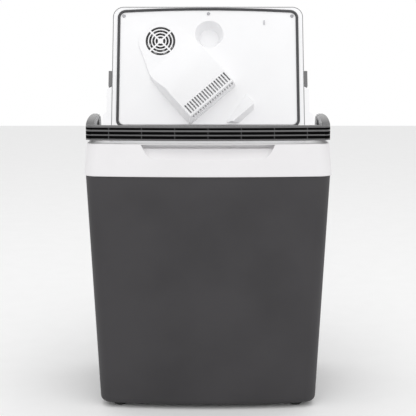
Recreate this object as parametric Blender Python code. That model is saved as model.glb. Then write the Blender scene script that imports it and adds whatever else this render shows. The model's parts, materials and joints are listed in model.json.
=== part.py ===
"""Portable thermoelectric cool box with its lid open and its handle folded forward.

Sizes are in millimetres and are turned into metres when a mesh is made. +X is to the right,
-Y is the front and +Z is up. Pieces of the lid are drawn with the lid closed, from an origin on
the hinge axis, and hang from an empty on that axis which opens them.
"""
import math

import bmesh
import bpy
from mathutils import Euler, Matrix, Vector

MM = 0.001
GAP = 0.3
OVERSHOOT = 1.0

# Body
COLLAR_TOP = 440.0
COLLAR_BOTTOM = 388.0
COLLAR_HALF_X = 199.0
COLLAR_TOP_HALF_X = 194.3
RIM = 1.2
BODY_FRONT = -136.0
BODY_BACK = 140.0
FRONT_BOW = 14.0
TUB_FLOOR = 7.0
TUB_HALF_X = 197.0
TUB_DRAFT = 0.0468
TUB_FRONT_DRAFT = 0.025
TUB_WALL = 2.5
PLAN_RADIUS = 20.0
MOUTH_HALF_X = 160.0
MOUTH_FRONT = -110.0
MOUTH_BACK = 108.5
MOUTH_RADIUS = 20.0
LINER_WALL = 2.0
LINER_FLOOR = 40.0
LINER_DRAFT = 0.012
FOOT_RADIUS = 10.5

# Hinge and lid
HINGE_Y = 131.0
HINGE_DROP = 8.5
OPEN_ANGLE = 109.5
KNUCKLE_RADIUS = 7.5
KNUCKLE_X = (94.0, 146.0)
PIN_RADIUS = 2.5
FLANGE = 3.0
LID_TOP = 46.0
LID_WALL = 2.5
LID_FRONT = 253.5
LID_BACK = -4.0
LID_HALF_X = 180.0
GASKET_HALF_X = 168.5
GASKET_REAR = 19.5
GASKET_FRONT = 248.7
GASKET_WIDTH = 5.0
GASKET_BOW = 5.0

# Carrying handle
PIVOT_Y = -14.0
PIVOT_Z = COLLAR_TOP + 21.0
ARM_INNER = 187.0
ARM_OUTER = 194.5
BAR_BOTTOM = COLLAR_TOP + 5.0
BAR_TOP = COLLAR_TOP + 29.0
BAR_DEPTH = 10.5
HUB_RADIUS = 17.0
ARM_TOP = PIVOT_Z + 16.5
ARM_THICK_INNER = 184.5
BRACKET_INNER = 182.8
BRACKET_OUTER = 186.7

# Cooling unit in the lid: x, distance from the hinge
FAN = (-89.5, 184.3)
FAN_SIZE = 56.0
FAN_DEPTH = 8.0
MODULE_LOW = 17.5
MODULE_HIGH = 20.9
SINK_X = 66.0
SINK_Y = 56.0
DUCT_WALL = 2.2
DUCT_ANGLE = -48.4
GRILLE_TOP = 0.0
GRILLE_RINGS = ((5.0, 9.4), (11.5, 15.5), (17.6, 21.7), (23.8, 28.0))
SPOKE = 3.0
DUCT_TOP = -20.0
DUCT_RADIUS = 38.5
DUCT_NEAR_SIDE = 57.5
DUCT_FAR_SIDE = -46.0
DUCT_END = 152.0
DUCT_FOOT = 158.0
BOTTLE = (2.3, 199.0)
SCREWS = ((-159.0, 235.0), (1.0, 239.5), (159.0, 235.0))
LEAD_HOLE = (-44.0, 138.0)

# Control panel on top of the lid, in millimetres across the lid and out from the hinge.
FASCIA_X = (72.0, 146.0)
FASCIA_S = (166.0, 196.0)
SLIDE = (92.0, 181.0)
ROCKER = (120.0, 181.0)
GREEN_LENS_SPOT = (138.0, 187.0)
RED_LENS_SPOT = (138.0, 175.0)


def remove_everything():
    for item in list(bpy.data.objects):
        bpy.data.objects.remove(item, do_unlink=True)


def new_collection(name):
    collection = bpy.data.collections.new(name)
    bpy.context.scene.collection.children.link(collection)
    return collection


remove_everything()
PARTS = new_collection("cool_box")
CUTTERS = new_collection("cutters")


def material(name, colour, roughness, metallic=0.0):
    found = bpy.data.materials.get(name)
    if found:
        return found
    made = bpy.data.materials.new(name)
    made.use_nodes = True
    shader = made.node_tree.nodes["Principled BSDF"]
    shader.inputs["Base Color"].default_value = (*colour, 1.0)
    shader.inputs["Roughness"].default_value = roughness
    shader.inputs["Metallic"].default_value = metallic
    return made


WHITE = material("white_plastic", (0.84, 0.84, 0.85), 0.35)
GREY = material("grey_plastic", (0.07, 0.068, 0.072), 0.5)
DARK = material("dark_plastic", (0.03, 0.03, 0.032), 0.45)
FOAM = material("foam", (0.8, 0.76, 0.6), 0.9)
RUBBER = material("rubber", (0.05, 0.048, 0.052), 0.7)
STEEL = material("steel", (0.45, 0.45, 0.46), 0.35, 1.0)
ALUMINIUM = material("aluminium", (0.75, 0.75, 0.76), 0.4, 1.0)
CERAMIC = material("ceramic", (0.9, 0.9, 0.88), 0.5)
BOARD = material("board", (0.03, 0.16, 0.07), 0.5)
RED_LENS = material("red_lens", (0.6, 0.03, 0.02), 0.2)
GREEN_LENS = material("green_lens", (0.03, 0.5, 0.08), 0.2)


# --- building blocks -------------------------------------------------------------------------

def finish_mesh(name, bm, look, parent):
    """Turn a bmesh drawn in millimetres into an object of the model."""
    bmesh.ops.scale(bm, vec=(MM, MM, MM), verts=bm.verts)
    bmesh.ops.recalc_face_normals(bm, faces=bm.faces)
    mesh = bpy.data.meshes.new(name)
    bm.to_mesh(mesh)
    bm.free()
    mesh.shade_smooth()
    mesh.set_sharp_from_angle(angle=math.radians(35))
    made = bpy.data.objects.new(name, mesh)
    if look is None:
        CUTTERS.objects.link(made)
        made.hide_render = True
        made.display_type = "WIRE"
    else:
        PARTS.objects.link(made)
        mesh.materials.append(look)
    made.parent = parent
    return made


def loft(name, rings, look=None, parent=None):
    """Closed solid through rings of 3-D points, each ring with the same number of points."""
    bm = bmesh.new()
    rows = [[bm.verts.new(point) for point in ring] for ring in rings]
    count = len(rows[0])
    for lower, upper in zip(rows, rows[1:]):
        for i in range(count):
            j = (i + 1) % count
            bm.faces.new((lower[i], lower[j], upper[j], upper[i]))
    bm.faces.new(rows[0][::-1])
    bm.faces.new(rows[-1])
    return finish_mesh(name, bm, look, parent)


def level(outline, z):
    return [(x, y, z) for x, y in outline]


def prism(name, outline, low, high, look=None, parent=None):
    """Outline in the XY plane, extruded along Z."""
    return loft(name, [level(outline, low), level(outline, high)], look, parent)


def side_prism(name, outline, low, high, look=None, parent=None):
    """Outline in the YZ plane, extruded along X."""
    rings = [[(x, y, z) for y, z in outline] for x in (low, high)]
    return loft(name, rings, look, parent)


def box(name, low, high, look=None, parent=None):
    bm = bmesh.new()
    bmesh.ops.create_cube(bm, size=1.0)
    low, high = Vector(low), Vector(high)
    size = high - low
    bmesh.ops.scale(bm, vec=size, verts=bm.verts)
    bmesh.ops.translate(bm, vec=low + size / 2, verts=bm.verts)
    return finish_mesh(name, bm, look, parent)


def boxes(name, spans, parent=None):
    """One cutter made of many boxes, each given by two opposite corners."""
    bm = bmesh.new()
    for low, high in spans:
        low, high = Vector(low), Vector(high)
        placed = Matrix.Translation((low + high) / 2) @ Matrix.Diagonal((*(high - low), 1.0))
        bmesh.ops.create_cube(bm, size=1.0, matrix=placed)
    return finish_mesh(name, bm, None, parent)


def cylinder(name, base, radius, height, axis="Z", look=None, parent=None, top_radius=None, sides=32):
    """Cylinder or cone that starts at base and runs along +X, +Y or +Z."""
    turn = {"X": Euler((0, math.pi / 2, 0)), "Y": Euler((-math.pi / 2, 0, 0)), "Z": Euler((0, 0, 0))}
    rotation = turn[axis].to_matrix().to_4x4()
    bm = bmesh.new()
    bmesh.ops.create_cone(
        bm, cap_ends=True, segments=sides, radius1=radius,
        radius2=radius if top_radius is None else top_radius, depth=height,
        matrix=Matrix.Translation(base) @ rotation @ Matrix.Translation((0, 0, height / 2)))
    return finish_mesh(name, bm, look, parent)


def combine(target, other, operation="DIFFERENCE"):
    modifier = target.modifiers.new(other.name, "BOOLEAN")
    modifier.operation = operation
    modifier.object = other
    return target


def arc(centre, radius, start, end, steps):
    """Points on a circle between two angles in degrees."""
    points = []
    for i in range(steps + 1):
        angle = math.radians(start + (end - start) * i / steps)
        points.append((centre[0] + radius * math.cos(angle), centre[1] + radius * math.sin(angle)))
    return points


def rounded_plan(half_x, front, back, radius, bow=0.0, steps=5, bow_steps=8):
    """Rounded rectangle, counter-clockwise, whose front edge bulges forward by bow."""
    points = arc((-half_x + radius, front + radius), radius, 180, 270, steps)
    flat = 2 * (half_x - radius)
    for i in range(1, bow_steps if bow else 1):
        points.append((-half_x + radius + flat * i / bow_steps, front))
    points += arc((half_x - radius, front + radius), radius, 270, 360, steps)
    points += arc((half_x - radius, back - radius), radius, 0, 90, steps)
    points += arc((-half_x + radius, back - radius), radius, 90, 180, steps)
    middle = (front + back) / 2
    return [(x, y - bow * (1 - (x / half_x) ** 2) if y < middle else y) for x, y in points]


def offset(outline, distance):
    """Outline moved outward by distance along its corner normals (inward if negative)."""
    moved = []
    count = len(outline)
    for i, (x, y) in enumerate(outline):
        before = Vector(outline[i - 1])
        here = Vector((x, y))
        after = Vector(outline[(i + 1) % count])
        incoming = (here - before).normalized()
        outgoing = (after - here).normalized()
        normal = Vector((incoming.y + outgoing.y, -incoming.x - outgoing.x)).normalized()
        stretch = max(0.5, normal.dot(Vector((outgoing.y, -outgoing.x))))
        moved.append(tuple(here + normal * distance / stretch))
    return moved


# --- body ------------------------------------------------------------------------------------

def tub_plan(z, inset):
    """Plan of the tub at a height, drawn in by inset on every side."""
    drop = COLLAR_BOTTOM - z
    ends = drop * TUB_FRONT_DRAFT + inset
    return rounded_plan(TUB_HALF_X - drop * TUB_DRAFT - inset, BODY_FRONT + 2 + ends,
                        BODY_BACK - 2 - ends, PLAN_RADIUS - inset, FRONT_BOW)


def mouth_plan(z, grow):
    """Plan of the cooling compartment at a height, grown by grow on every side."""
    drop = (COLLAR_TOP - z) * LINER_DRAFT
    return rounded_plan(MOUTH_HALF_X - drop + grow, MOUTH_FRONT + drop - grow,
                        MOUTH_BACK - drop + grow, MOUTH_RADIUS + grow, FRONT_BOW / 2)


def build_tub(root):
    rounding = ((0.0, 8.0), (1.5, 4.5), (5.0, 1.2), (9.0, 0.0))
    rings = [level(tub_plan(TUB_FLOOR + up, inset), TUB_FLOOR + up) for up, inset in rounding]
    rings.append(level(tub_plan(COLLAR_BOTTOM, 0), COLLAR_BOTTOM - GAP))
    outer = loft("outer_tub", rings, GREY, root)
    floor = TUB_FLOOR + TUB_WALL
    hollow = [level(tub_plan(floor, TUB_WALL + 6), floor)]
    hollow.append(level(tub_plan(floor + 7, TUB_WALL), floor + 7))
    hollow.append(level(tub_plan(COLLAR_BOTTOM, TUB_WALL), COLLAR_BOTTOM + OVERSHOOT))
    combine(outer, loft("outer_tub_hollow", hollow, None, root))

    wall = TUB_WALL + GAP
    foam_rings = [level(tub_plan(floor + GAP, wall + 6), floor + GAP)]
    foam_rings.append(level(tub_plan(floor + 7 + GAP, wall), floor + 7 + GAP))
    foam_rings.append(level(tub_plan(COLLAR_BOTTOM, wall), COLLAR_BOTTOM - GAP))
    foam = loft("insulation_tub", foam_rings, FOAM, root)
    under = LINER_FLOOR - LINER_WALL - GAP
    around = LINER_WALL + GAP
    space = [level(mouth_plan(under, around), under)]
    space.append(level(mouth_plan(COLLAR_TOP, around), COLLAR_TOP))
    combine(foam, loft("insulation_tub_hollow", space, None, root))

    rim = COLLAR_TOP - 4
    inner = loft("inner_tub", [
        level(mouth_plan(LINER_FLOOR, LINER_WALL - 3), LINER_FLOOR - LINER_WALL),
        level(mouth_plan(LINER_FLOOR, LINER_WALL), LINER_FLOOR + 2),
        level(mouth_plan(rim, LINER_WALL), rim)], WHITE, root)
    combine(inner, loft("inner_tub_hollow", [
        level(mouth_plan(LINER_FLOOR, -3), LINER_FLOOR),
        level(mouth_plan(LINER_FLOOR, 0), LINER_FLOOR + 3),
        level(mouth_plan(COLLAR_TOP, 0), COLLAR_TOP + OVERSHOOT)], None, root))


def build_pivot_brackets(root):
    """Upright plates on the collar that carry the handle's pins, arched around the pivot."""
    half = HUB_RADIUS - 2
    outline = arc((PIVOT_Y, PIVOT_Z), half, 0, 180, 10)
    outline += [(PIVOT_Y - half, COLLAR_TOP + GAP), (PIVOT_Y + half, COLLAR_TOP + GAP)]
    for side, sign in (("left", -1), ("right", 1)):
        bracket = side_prism("pivot_bracket_" + side, outline, sign * BRACKET_INNER,
                             sign * BRACKET_OUTER, DARK, root)
        bore = cylinder("bracket_bore_" + side, (sign * BRACKET_INNER - 8, PIVOT_Y, PIVOT_Z), 3.3, 16, "X",
                        None, root, sides=20)
        combine(bracket, bore)


def build_collar(root):
    def plan(half_x, inset):
        return rounded_plan(half_x, BODY_FRONT - 2 + inset, BODY_BACK - inset, PLAN_RADIUS, FRONT_BOW)

    collar = loft("collar", [
        level(plan(COLLAR_HALF_X, 0), COLLAR_BOTTOM),
        level(plan(COLLAR_TOP_HALF_X, 2), COLLAR_TOP - 4),
        level(plan(COLLAR_TOP_HALF_X - 0.6, 2.6), COLLAR_TOP - 1.5),
        level(plan(COLLAR_TOP_HALF_X - 2, 4), COLLAR_TOP)], WHITE, root)
    ledge = COLLAR_TOP - 4 + GAP
    combine(collar, loft("collar_mouth", [
        level(mouth_plan(COLLAR_BOTTOM, LINER_WALL + GAP), COLLAR_BOTTOM - OVERSHOOT),
        level(mouth_plan(ledge, LINER_WALL + GAP), ledge),
        level(mouth_plan(ledge, 0), ledge),
        level(mouth_plan(COLLAR_TOP, 0), COLLAR_TOP + OVERSHOOT)], None, root))

    channel = [(-190, -100), (-190, 134), (190, 134), (190, -100),
               (167, -100), (167, 118), (-167, 118), (-167, -100)]
    combine(collar, prism("collar_channel", channel[::-1], COLLAR_BOTTOM - OVERSHOOT,
                          COLLAR_BOTTOM + 26, None, root))

    recess_bottom = COLLAR_TOP - 29
    lip = BODY_FRONT - FRONT_BOW
    recess = [[(-x, lip - 20, z), (x, lip - 20, z), (x, back, z), (x - 6, back + 3, z),
               (6 - x, back + 3, z), (-x, back, z)]
              for x, back, z in ((91.0, lip - 4, recess_bottom), (93.0, lip + 2, recess_bottom + 3),
                                 (106.0, lip + 13, COLLAR_TOP - RIM))]
    combine(collar, loft("collar_finger_recess", recess, None, root))

    for side, sign in (("left", -1), ("right", 1)):
        near, far = sorted((sign * (KNUCKLE_X[0] - 1), sign * (KNUCKLE_X[1] + 1)))
        notch = box("collar_hinge_notch_" + side, (near, HINGE_Y - 10, COLLAR_TOP - 20),
                    (far, HINGE_Y + 14, COLLAR_TOP + 5), None, root)
        combine(collar, notch)
        hole = cylinder("collar_pin_hole_" + side, (near - 5.3, HINGE_Y, COLLAR_TOP - HINGE_DROP),
                        PIN_RADIUS + GAP, far - near + 10.6, "X", None, root, sides=16)
        combine(collar, hole)

    chamfer = [(134.2, 440.8), (134.2, 446), (146, 446), (146, 434), (141, 434)]
    combine(collar, side_prism("collar_rear_chamfer", chamfer, -210, 210, None, root))
    return collar


def build_feet(root):
    for end, y in (("front", -106.0), ("rear", 109.0)):
        for side, x in (("left", -147.0), ("right", 147.0)):
            bm = bmesh.new()
            profile = [(0.0, 0.0), (FOOT_RADIUS - 3.5, 0.0), (FOOT_RADIUS - 1, 1.6),
                       (FOOT_RADIUS, 4.0), (FOOT_RADIUS, TUB_FLOOR - GAP), (0.0, TUB_FLOOR - GAP)]
            verts = [bm.verts.new((r, 0, z)) for r, z in profile]
            edges = [bm.edges.new(pair) for pair in zip(verts, verts[1:])]
            bmesh.ops.spin(bm, geom=verts + edges, cent=(0, 0, 0), axis=(0, 0, 1),
                           angle=math.tau, steps=24)
            bmesh.ops.remove_doubles(bm, verts=bm.verts, dist=0.01)
            bmesh.ops.translate(bm, vec=(x, y, 0), verts=bm.verts)
            finish_mesh("foot_{}_{}".format(end, side), bm, RUBBER, root)


def build_hinge_pins(root):
    for side, sign in (("left", -1), ("right", 1)):
        near = min(sign * (KNUCKLE_X[0] - 5), sign * (KNUCKLE_X[1] + 5))
        length = KNUCKLE_X[1] - KNUCKLE_X[0] + 10
        cylinder("hinge_pin_" + side, (near, HINGE_Y, COLLAR_TOP - HINGE_DROP), PIN_RADIUS, length,
                 "X", STEEL, root, sides=16)
        start = min(sign * (BRACKET_INNER + 0.2), sign * (ARM_OUTER - 1.6))
        cylinder("handle_pin_" + side, (start, PIVOT_Y, PIVOT_Z), 3.0, ARM_OUTER - 1.6 - BRACKET_INNER - 0.2, "X",
                 STEEL, root, sides=20)


# --- handle ----------------------------------------------------------------------------------

def handle_plan():
    """Plan of the bar: it bows forward and turns back at both ends into the arms."""
    front, back, turn = BODY_FRONT, BODY_FRONT + BAR_DEPTH, -118.0
    outer = [(-ARM_OUTER, turn)]
    outer += arc((-ARM_OUTER + 12, front + 12), 12, 180, 270, 5)
    outer += [(x, front) for x in range(-160, 161, 40)]
    outer += arc((ARM_OUTER - 12, front + 12), 12, 270, 360, 5)
    outer.append((ARM_OUTER, turn))
    inner = [(ARM_THICK_INNER, turn)]
    inner += [(x, back) for x in range(175, -176, -35)]
    inner.append((-ARM_THICK_INNER, turn))
    return [(x, y - FRONT_BOW * (1 - (x / ARM_OUTER) ** 2) if y < turn - 1 else y)
            for x, y in outer + inner]


def build_handle(pivot):
    handle = prism("handle", [(x, y - PIVOT_Y) for x, y in handle_plan()], BAR_BOTTOM - PIVOT_Z,
                   BAR_TOP - PIVOT_Z, DARK, pivot)
    rows = ((461.9, 465.4), (455.3, 459.3), (448.6, 452.4))
    pitch = 52.3
    pockets = []
    for k in range(-4, 4):
        start = max(k * pitch + 0.8, -182.0)
        end = min((k + 1) * pitch - 0.8, 182.0)
        middle = (start + end) / 2
        bow = FRONT_BOW * (1 - (middle / ARM_OUTER) ** 2)
        floor = BODY_FRONT - bow + 8.5 - PIVOT_Y
        for low, high in rows:
            pockets.append(((start, floor - 20, low - PIVOT_Z), (end, floor, high - PIVOT_Z)))
    combine(handle, boxes("handle_pockets", pockets, pivot))

    low, high = BAR_BOTTOM - PIVOT_Z, ARM_TOP - PIVOT_Z
    front_part = [(-20, low), (-20, high), (-93, high), (-103, high - 2), (-109, high - 5.5),
                  (-112, BAR_TOP - PIVOT_Z), (-112, low)]
    rear_part = [(0, low), (0, high), (-21, high), (-21, low)]
    for side, sign in (("left", -1), ("right", 1)):
        arm = side_prism("handle_arm_" + side, front_part, sign * ARM_THICK_INNER, sign * ARM_OUTER,
                         None, pivot)
        combine(handle, arm, "UNION")
        root_part = side_prism("handle_arm_root_" + side, rear_part, sign * ARM_INNER,
                               sign * ARM_OUTER, None, pivot)
        combine(handle, root_part, "UNION")
        near = min(sign * ARM_INNER, sign * ARM_OUTER)
        hub = cylinder("handle_hub_" + side, (near, 0, 0), HUB_RADIUS, ARM_OUTER - ARM_INNER, "X",
                       None, pivot)
        combine(handle, hub, "UNION")
        bore = cylinder("handle_bore_" + side, (sign * 190 - 9, 0, 0), 3.3, 18, "X", None, pivot,
                        sides=20)
        combine(handle, bore)
        seat = min(sign * (ARM_OUTER - 1.3), sign * (ARM_OUTER + 1.5))
        combine(handle, cylinder("handle_cap_seat_" + side, (seat, 0, 0), 9.3, 2.8, "X", None, pivot))
        cap = min(sign * (ARM_OUTER - 1.0), sign * (ARM_OUTER + 0.5))
        cylinder("hub_cap_" + side, (cap, 0, 0), 9.0, 1.5, "X", DARK, pivot)


# --- lid -------------------------------------------------------------------------------------

def height(w):
    """Height above the hinge axis of a point w above the collar, in the closed lid."""
    return HINGE_DROP + w


def spot(x, s, w):
    """Point of the closed lid: s is the distance forward of the hinge axis."""
    return (x, -s, height(w))


def lid_plan():
    """Plan of the lid: straight sides, cheeks beside the cooling unit, flared rear corners."""
    right = arc((LID_HALF_X - 20, -LID_FRONT + 20), 20, 270, 360, 5)
    right += [(LID_HALF_X, -96), (189, -91), (189, -47), (196, -41)]
    right += arc((196 - 8, -LID_BACK - 8), 8, 0, 90, 3)
    return right + [(-x, y) for x, y in reversed(right)]


def liner_plan(grow):
    return rounded_plan(GASKET_HALF_X - 3 + grow, -GASKET_FRONT + GASKET_BOW + 3 - grow,
                        -GASKET_REAR - 3 + grow, 8, GASKET_BOW)


def build_lid_shell(pivot):
    plan = lid_plan()
    shell = loft("lid_shell", [
        level(plan, height(FLANGE)),
        level(plan, height(LID_TOP - 9)),
        level(offset(plan, -2.0), height(LID_TOP - 4)),
        level(offset(plan, -6.5), height(LID_TOP))], WHITE, pivot)
    combine(shell, loft("lid_hollow", [
        level(offset(plan, -LID_WALL), height(FLANGE + 3.5)),
        level(offset(plan, -LID_WALL), height(LID_TOP - 11)),
        level(offset(plan, -6.5), height(LID_TOP - LID_WALL))], None, pivot))
    mouth = liner_plan(GAP)
    combine(shell, prism("lid_mouth", mouth, height(FLANGE - 1), height(FLANGE + 4), None, pivot))
    rear = [(-6, height(2.8)), (6, height(8)), (6, height(-4)), (-6, height(-4))]
    combine(shell, side_prism("lid_rear_chamfer", rear, -210, 210, None, pivot))

    for side, sign in (("left", -1), ("right", 1)):
        near = min(sign * KNUCKLE_X[0], sign * KNUCKLE_X[1])
        width = KNUCKLE_X[1] - KNUCKLE_X[0]
        web = box("lid_knuckle_web_" + side, (near, -5, 0), (near + width, 5, height(FLANGE + 3)),
                  None, pivot)
        combine(shell, web, "UNION")
        knuckle = cylinder("lid_knuckle_" + side, (near, 0, 0), KNUCKLE_RADIUS, width, "X", None,
                           pivot, sides=24)
        combine(shell, knuckle, "UNION")
        bore = cylinder("lid_knuckle_bore_" + side, (near - 2, 0, 0), PIN_RADIUS + GAP, width + 4,
                        "X", None, pivot, sides=16)
        combine(shell, bore)

    lip = box("lid_front_lip", spot(-42, LID_FRONT + 2, FLANGE), spot(42, LID_FRONT - 1, 12), None,
              pivot)
    combine(shell, lip, "UNION")
    return shell


def build_lid_lugs(pivot):
    """Dark buffer lugs on the sides of the lid, just behind the handle hubs."""
    for side, sign in (("left", -1), ("right", 1)):
        inner, outer = sorted((sign * (LID_HALF_X + GAP), sign * 186.3))
        box("buffer_lug_" + side, spot(inner, 126.5, FLANGE), spot(outer, 97, 17), DARK, pivot)


def build_gasket(pivot):
    def ring(grow):
        return rounded_plan(GASKET_HALF_X + grow, -GASKET_FRONT + GASKET_BOW - grow,
                            -GASKET_REAR + grow, 8 + grow, GASKET_BOW)

    half = GASKET_WIDTH / 2
    gasket = prism("lid_gasket", ring(half), height(0.5), height(FLANGE - GAP), RUBBER, pivot)
    combine(gasket, prism("gasket_inside", ring(-half), height(-OVERSHOOT), height(FLANGE + 1), None,
                          pivot))


def build_liner(pivot):
    thickness = 2.5
    liner = prism("lid_liner", liner_plan(0), height(FLANGE), height(FLANGE + thickness), WHITE, pivot)
    foot = [(70, 84), (85, 62), (85, 50), (58, 25.5), (34, 25.5), (28, 46)]
    ridge = [(83.5, 62.8), (85, 61.6), (85, 59.8), (46.4, 26), (44.4, 26.6), (45, 28.2)]
    combine(liner, loft("liner_deflector", [
        [(x, -s, height(FLANGE + 1)) for x, s in foot],
        [(x, -s, height(FLANGE - 11)) for x, s in ridge]], None, pivot), "UNION")
    x, s = BOTTLE
    depth = 26.0
    cup = cylinder("bottle_cup", spot(x, s, FLANGE + 1), 28.2, depth + 1, "Z", None, pivot, 20.0)
    combine(liner, cup, "UNION")
    combine(liner, cylinder("bottle_cup_hollow", spot(x, s, FLANGE - 1), 27.0, depth, "Z", None,
                            pivot, 17.8))
    fx, fs = FAN
    half_x, half_y = SINK_X / 2 + 1, SINK_Y / 2 + 1
    combine(liner, box("liner_cold_hole", spot(fx - half_x, fs + half_y, 0),
                       spot(fx + half_x, fs - half_y, 9), None, pivot))
    for i, (sx, ss) in enumerate(SCREWS):
        combine(liner, cylinder("liner_screw_hole_{}".format(i), spot(sx, ss, 0), 1.8, 9, "Z", None,
                                pivot, sides=12))
    sx, ss = LEAD_HOLE
    combine(liner, cylinder("liner_lead_hole", spot(sx, ss, 0), 2.2, 9, "Z", None, pivot, sides=12))
    box("liner_clip", spot(105, 226, FLANGE - 1.5), spot(107.5, 218, FLANGE - GAP), STEEL, pivot)


def build_liner_screws(pivot):
    for i, (x, s) in enumerate(SCREWS):
        screw = cylinder("liner_screw_{}".format(i + 1), spot(x, s, FLANGE - 1.5), 3.0, 1.2, "Z",
                         STEEL, pivot, 3.3, sides=20)
        shank = cylinder("liner_shank_{}".format(i + 1), spot(x, s, FLANGE - 1), 1.4, 9, "Z", None,
                         pivot, sides=12)
        combine(screw, shank, "UNION")


def build_insulation(pivot):
    plan = rounded_plan(170, -228, -16, 10)
    foam = prism("lid_insulation", plan, height(9), height(26), FOAM, pivot)
    x, s = BOTTLE
    combine(foam, cylinder("foam_bottle_hole", spot(x, s, 0), 29.5, 40, "Z", None, pivot))
    fx, fs = FAN
    half_x, half_y = SINK_X / 2 + 1, SINK_Y / 2 + 1
    combine(foam, box("foam_cold_hole", spot(fx - half_x, fs + half_y, 0),
                      spot(fx + half_x, fs - half_y, 40), None, pivot))
    combine(foam, box("foam_hot_hole", spot(fx - 47, fs + 38, MODULE_HIGH), spot(fx + 47, fs - 38, 40), None,
                      pivot))
    lx, ls = LEAD_HOLE
    combine(foam, cylinder("foam_lead_hole", spot(lx, ls, 0), 3.0, 40, "Z", None, pivot, sides=12))


# --- air duct and cooling unit ---------------------------------------------------------------

def duct_frame():
    """Places a solid drawn along the duct: X runs from the fan to the outlet, Z up the lid."""
    x, s = FAN
    return Matrix.Translation(spot(x, s, 0)) @ Matrix.Rotation(math.radians(-DUCT_ANGLE), 4, "Z")


def duct_outline(radius, far_side, near_side, end, corner):
    """Outline of the duct in its own frame: round over the fan, straight to a rounded outlet end."""
    outline = arc((0, 0), radius, 105, 255, 10)
    outline += [(20, far_side + 4), (50, far_side), (end - 3, far_side), (end, far_side + 3)]
    outline += arc((end - corner, near_side - corner), corner, 0, 90, 3)
    return outline + [(99, near_side), (48, near_side - 3)]


def duct_solid(name, shrink, look, pivot):
    """Duct block: low and round over the fan, then ramping up to the full height of the outlet."""
    low = FLANGE - GAP + (OVERSHOOT if shrink else 0)
    side = [(-50, low), (DUCT_FOOT - shrink, low), (DUCT_END - shrink, DUCT_TOP + shrink),
            (82, DUCT_TOP + shrink), (34, GRILLE_TOP + shrink), (-50, GRILLE_TOP + shrink)]
    body = loft(name, [[(t, n, w) for t, w in side] for n in (-75, 75)], look, pivot)
    foot = duct_outline(DUCT_RADIUS + 3 - shrink, DUCT_FAR_SIDE - 3 + shrink,
                        DUCT_NEAR_SIDE + 9 - shrink, DUCT_FOOT + 1 - shrink, 6)
    top = duct_outline(DUCT_RADIUS - shrink, DUCT_FAR_SIDE + shrink, DUCT_NEAR_SIDE - shrink,
                       DUCT_FOOT + 1 - shrink, 6)
    outside = loft(name + "_plan", [level(foot, low + OVERSHOOT), level(top, DUCT_TOP - 2)], None, pivot)
    combine(body, outside, "INTERSECT")
    for piece in (body, outside):
        piece.data.transform(Matrix.Scale(1 / MM, 4))
        piece.data.transform(duct_frame())
        piece.data.transform(Matrix.Scale(MM, 4))
    return body


def outlet_slots(name, pivot, near, far, low, high):
    """Row of slots side by side along the outlet, between two distances from the fan."""
    count, pitch, width = 17, 5.93, 3.2
    first = -42.4
    bm = bmesh.new()
    for i in range(count):
        place = duct_frame() @ Matrix.Translation(((near + far) / 2, first + i * pitch, (low + high) / 2))
        size = Matrix.Diagonal((far - near, width, high - low, 1.0))
        bmesh.ops.create_cube(bm, size=1.0, matrix=place @ size)
    return finish_mesh(name, bm, None, pivot)


def grille_cutter(pivot):
    """Four ring slots, each broken by four diagonal spokes."""
    bm = bmesh.new()
    for inner, outer in GRILLE_RINGS:
        for quarter in range(4):
            middle = 90 * quarter
            inner_half = 45 - math.degrees(SPOKE / 2 / inner)
            outer_half = 45 - math.degrees(SPOKE / 2 / outer)
            centre = (FAN[0], -FAN[1])
            outline = arc(centre, outer, middle - outer_half, middle + outer_half, 5)
            outline += arc(centre, inner, middle + inner_half, middle - inner_half, 5)
            low = [bm.verts.new((x, y, height(GRILLE_TOP - 2))) for x, y in outline]
            high = [bm.verts.new((x, y, height(GRILLE_TOP + 2.3))) for x, y in outline]
            count = len(outline)
            for i in range(count):
                j = (i + 1) % count
                bm.faces.new((low[i], low[j], high[j], high[i]))
            bm.faces.new(low[::-1])
            bm.faces.new(high)
    return finish_mesh("grille_slots", bm, None, pivot)


def build_duct(pivot):
    duct = duct_solid("duct_cover", 0.0, WHITE, pivot)
    combine(duct, duct_solid("duct_hollow", DUCT_WALL, None, pivot))
    combine(duct, grille_cutter(pivot))
    combine(duct, outlet_slots("outlet_face_slots", pivot, 129.2, 148.6, DUCT_TOP - 3, DUCT_TOP + 3.5))
    combine(duct, outlet_slots("outlet_wall_slots", pivot, 148.0, 166.0, DUCT_TOP + 4, DUCT_TOP + 13))


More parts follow.
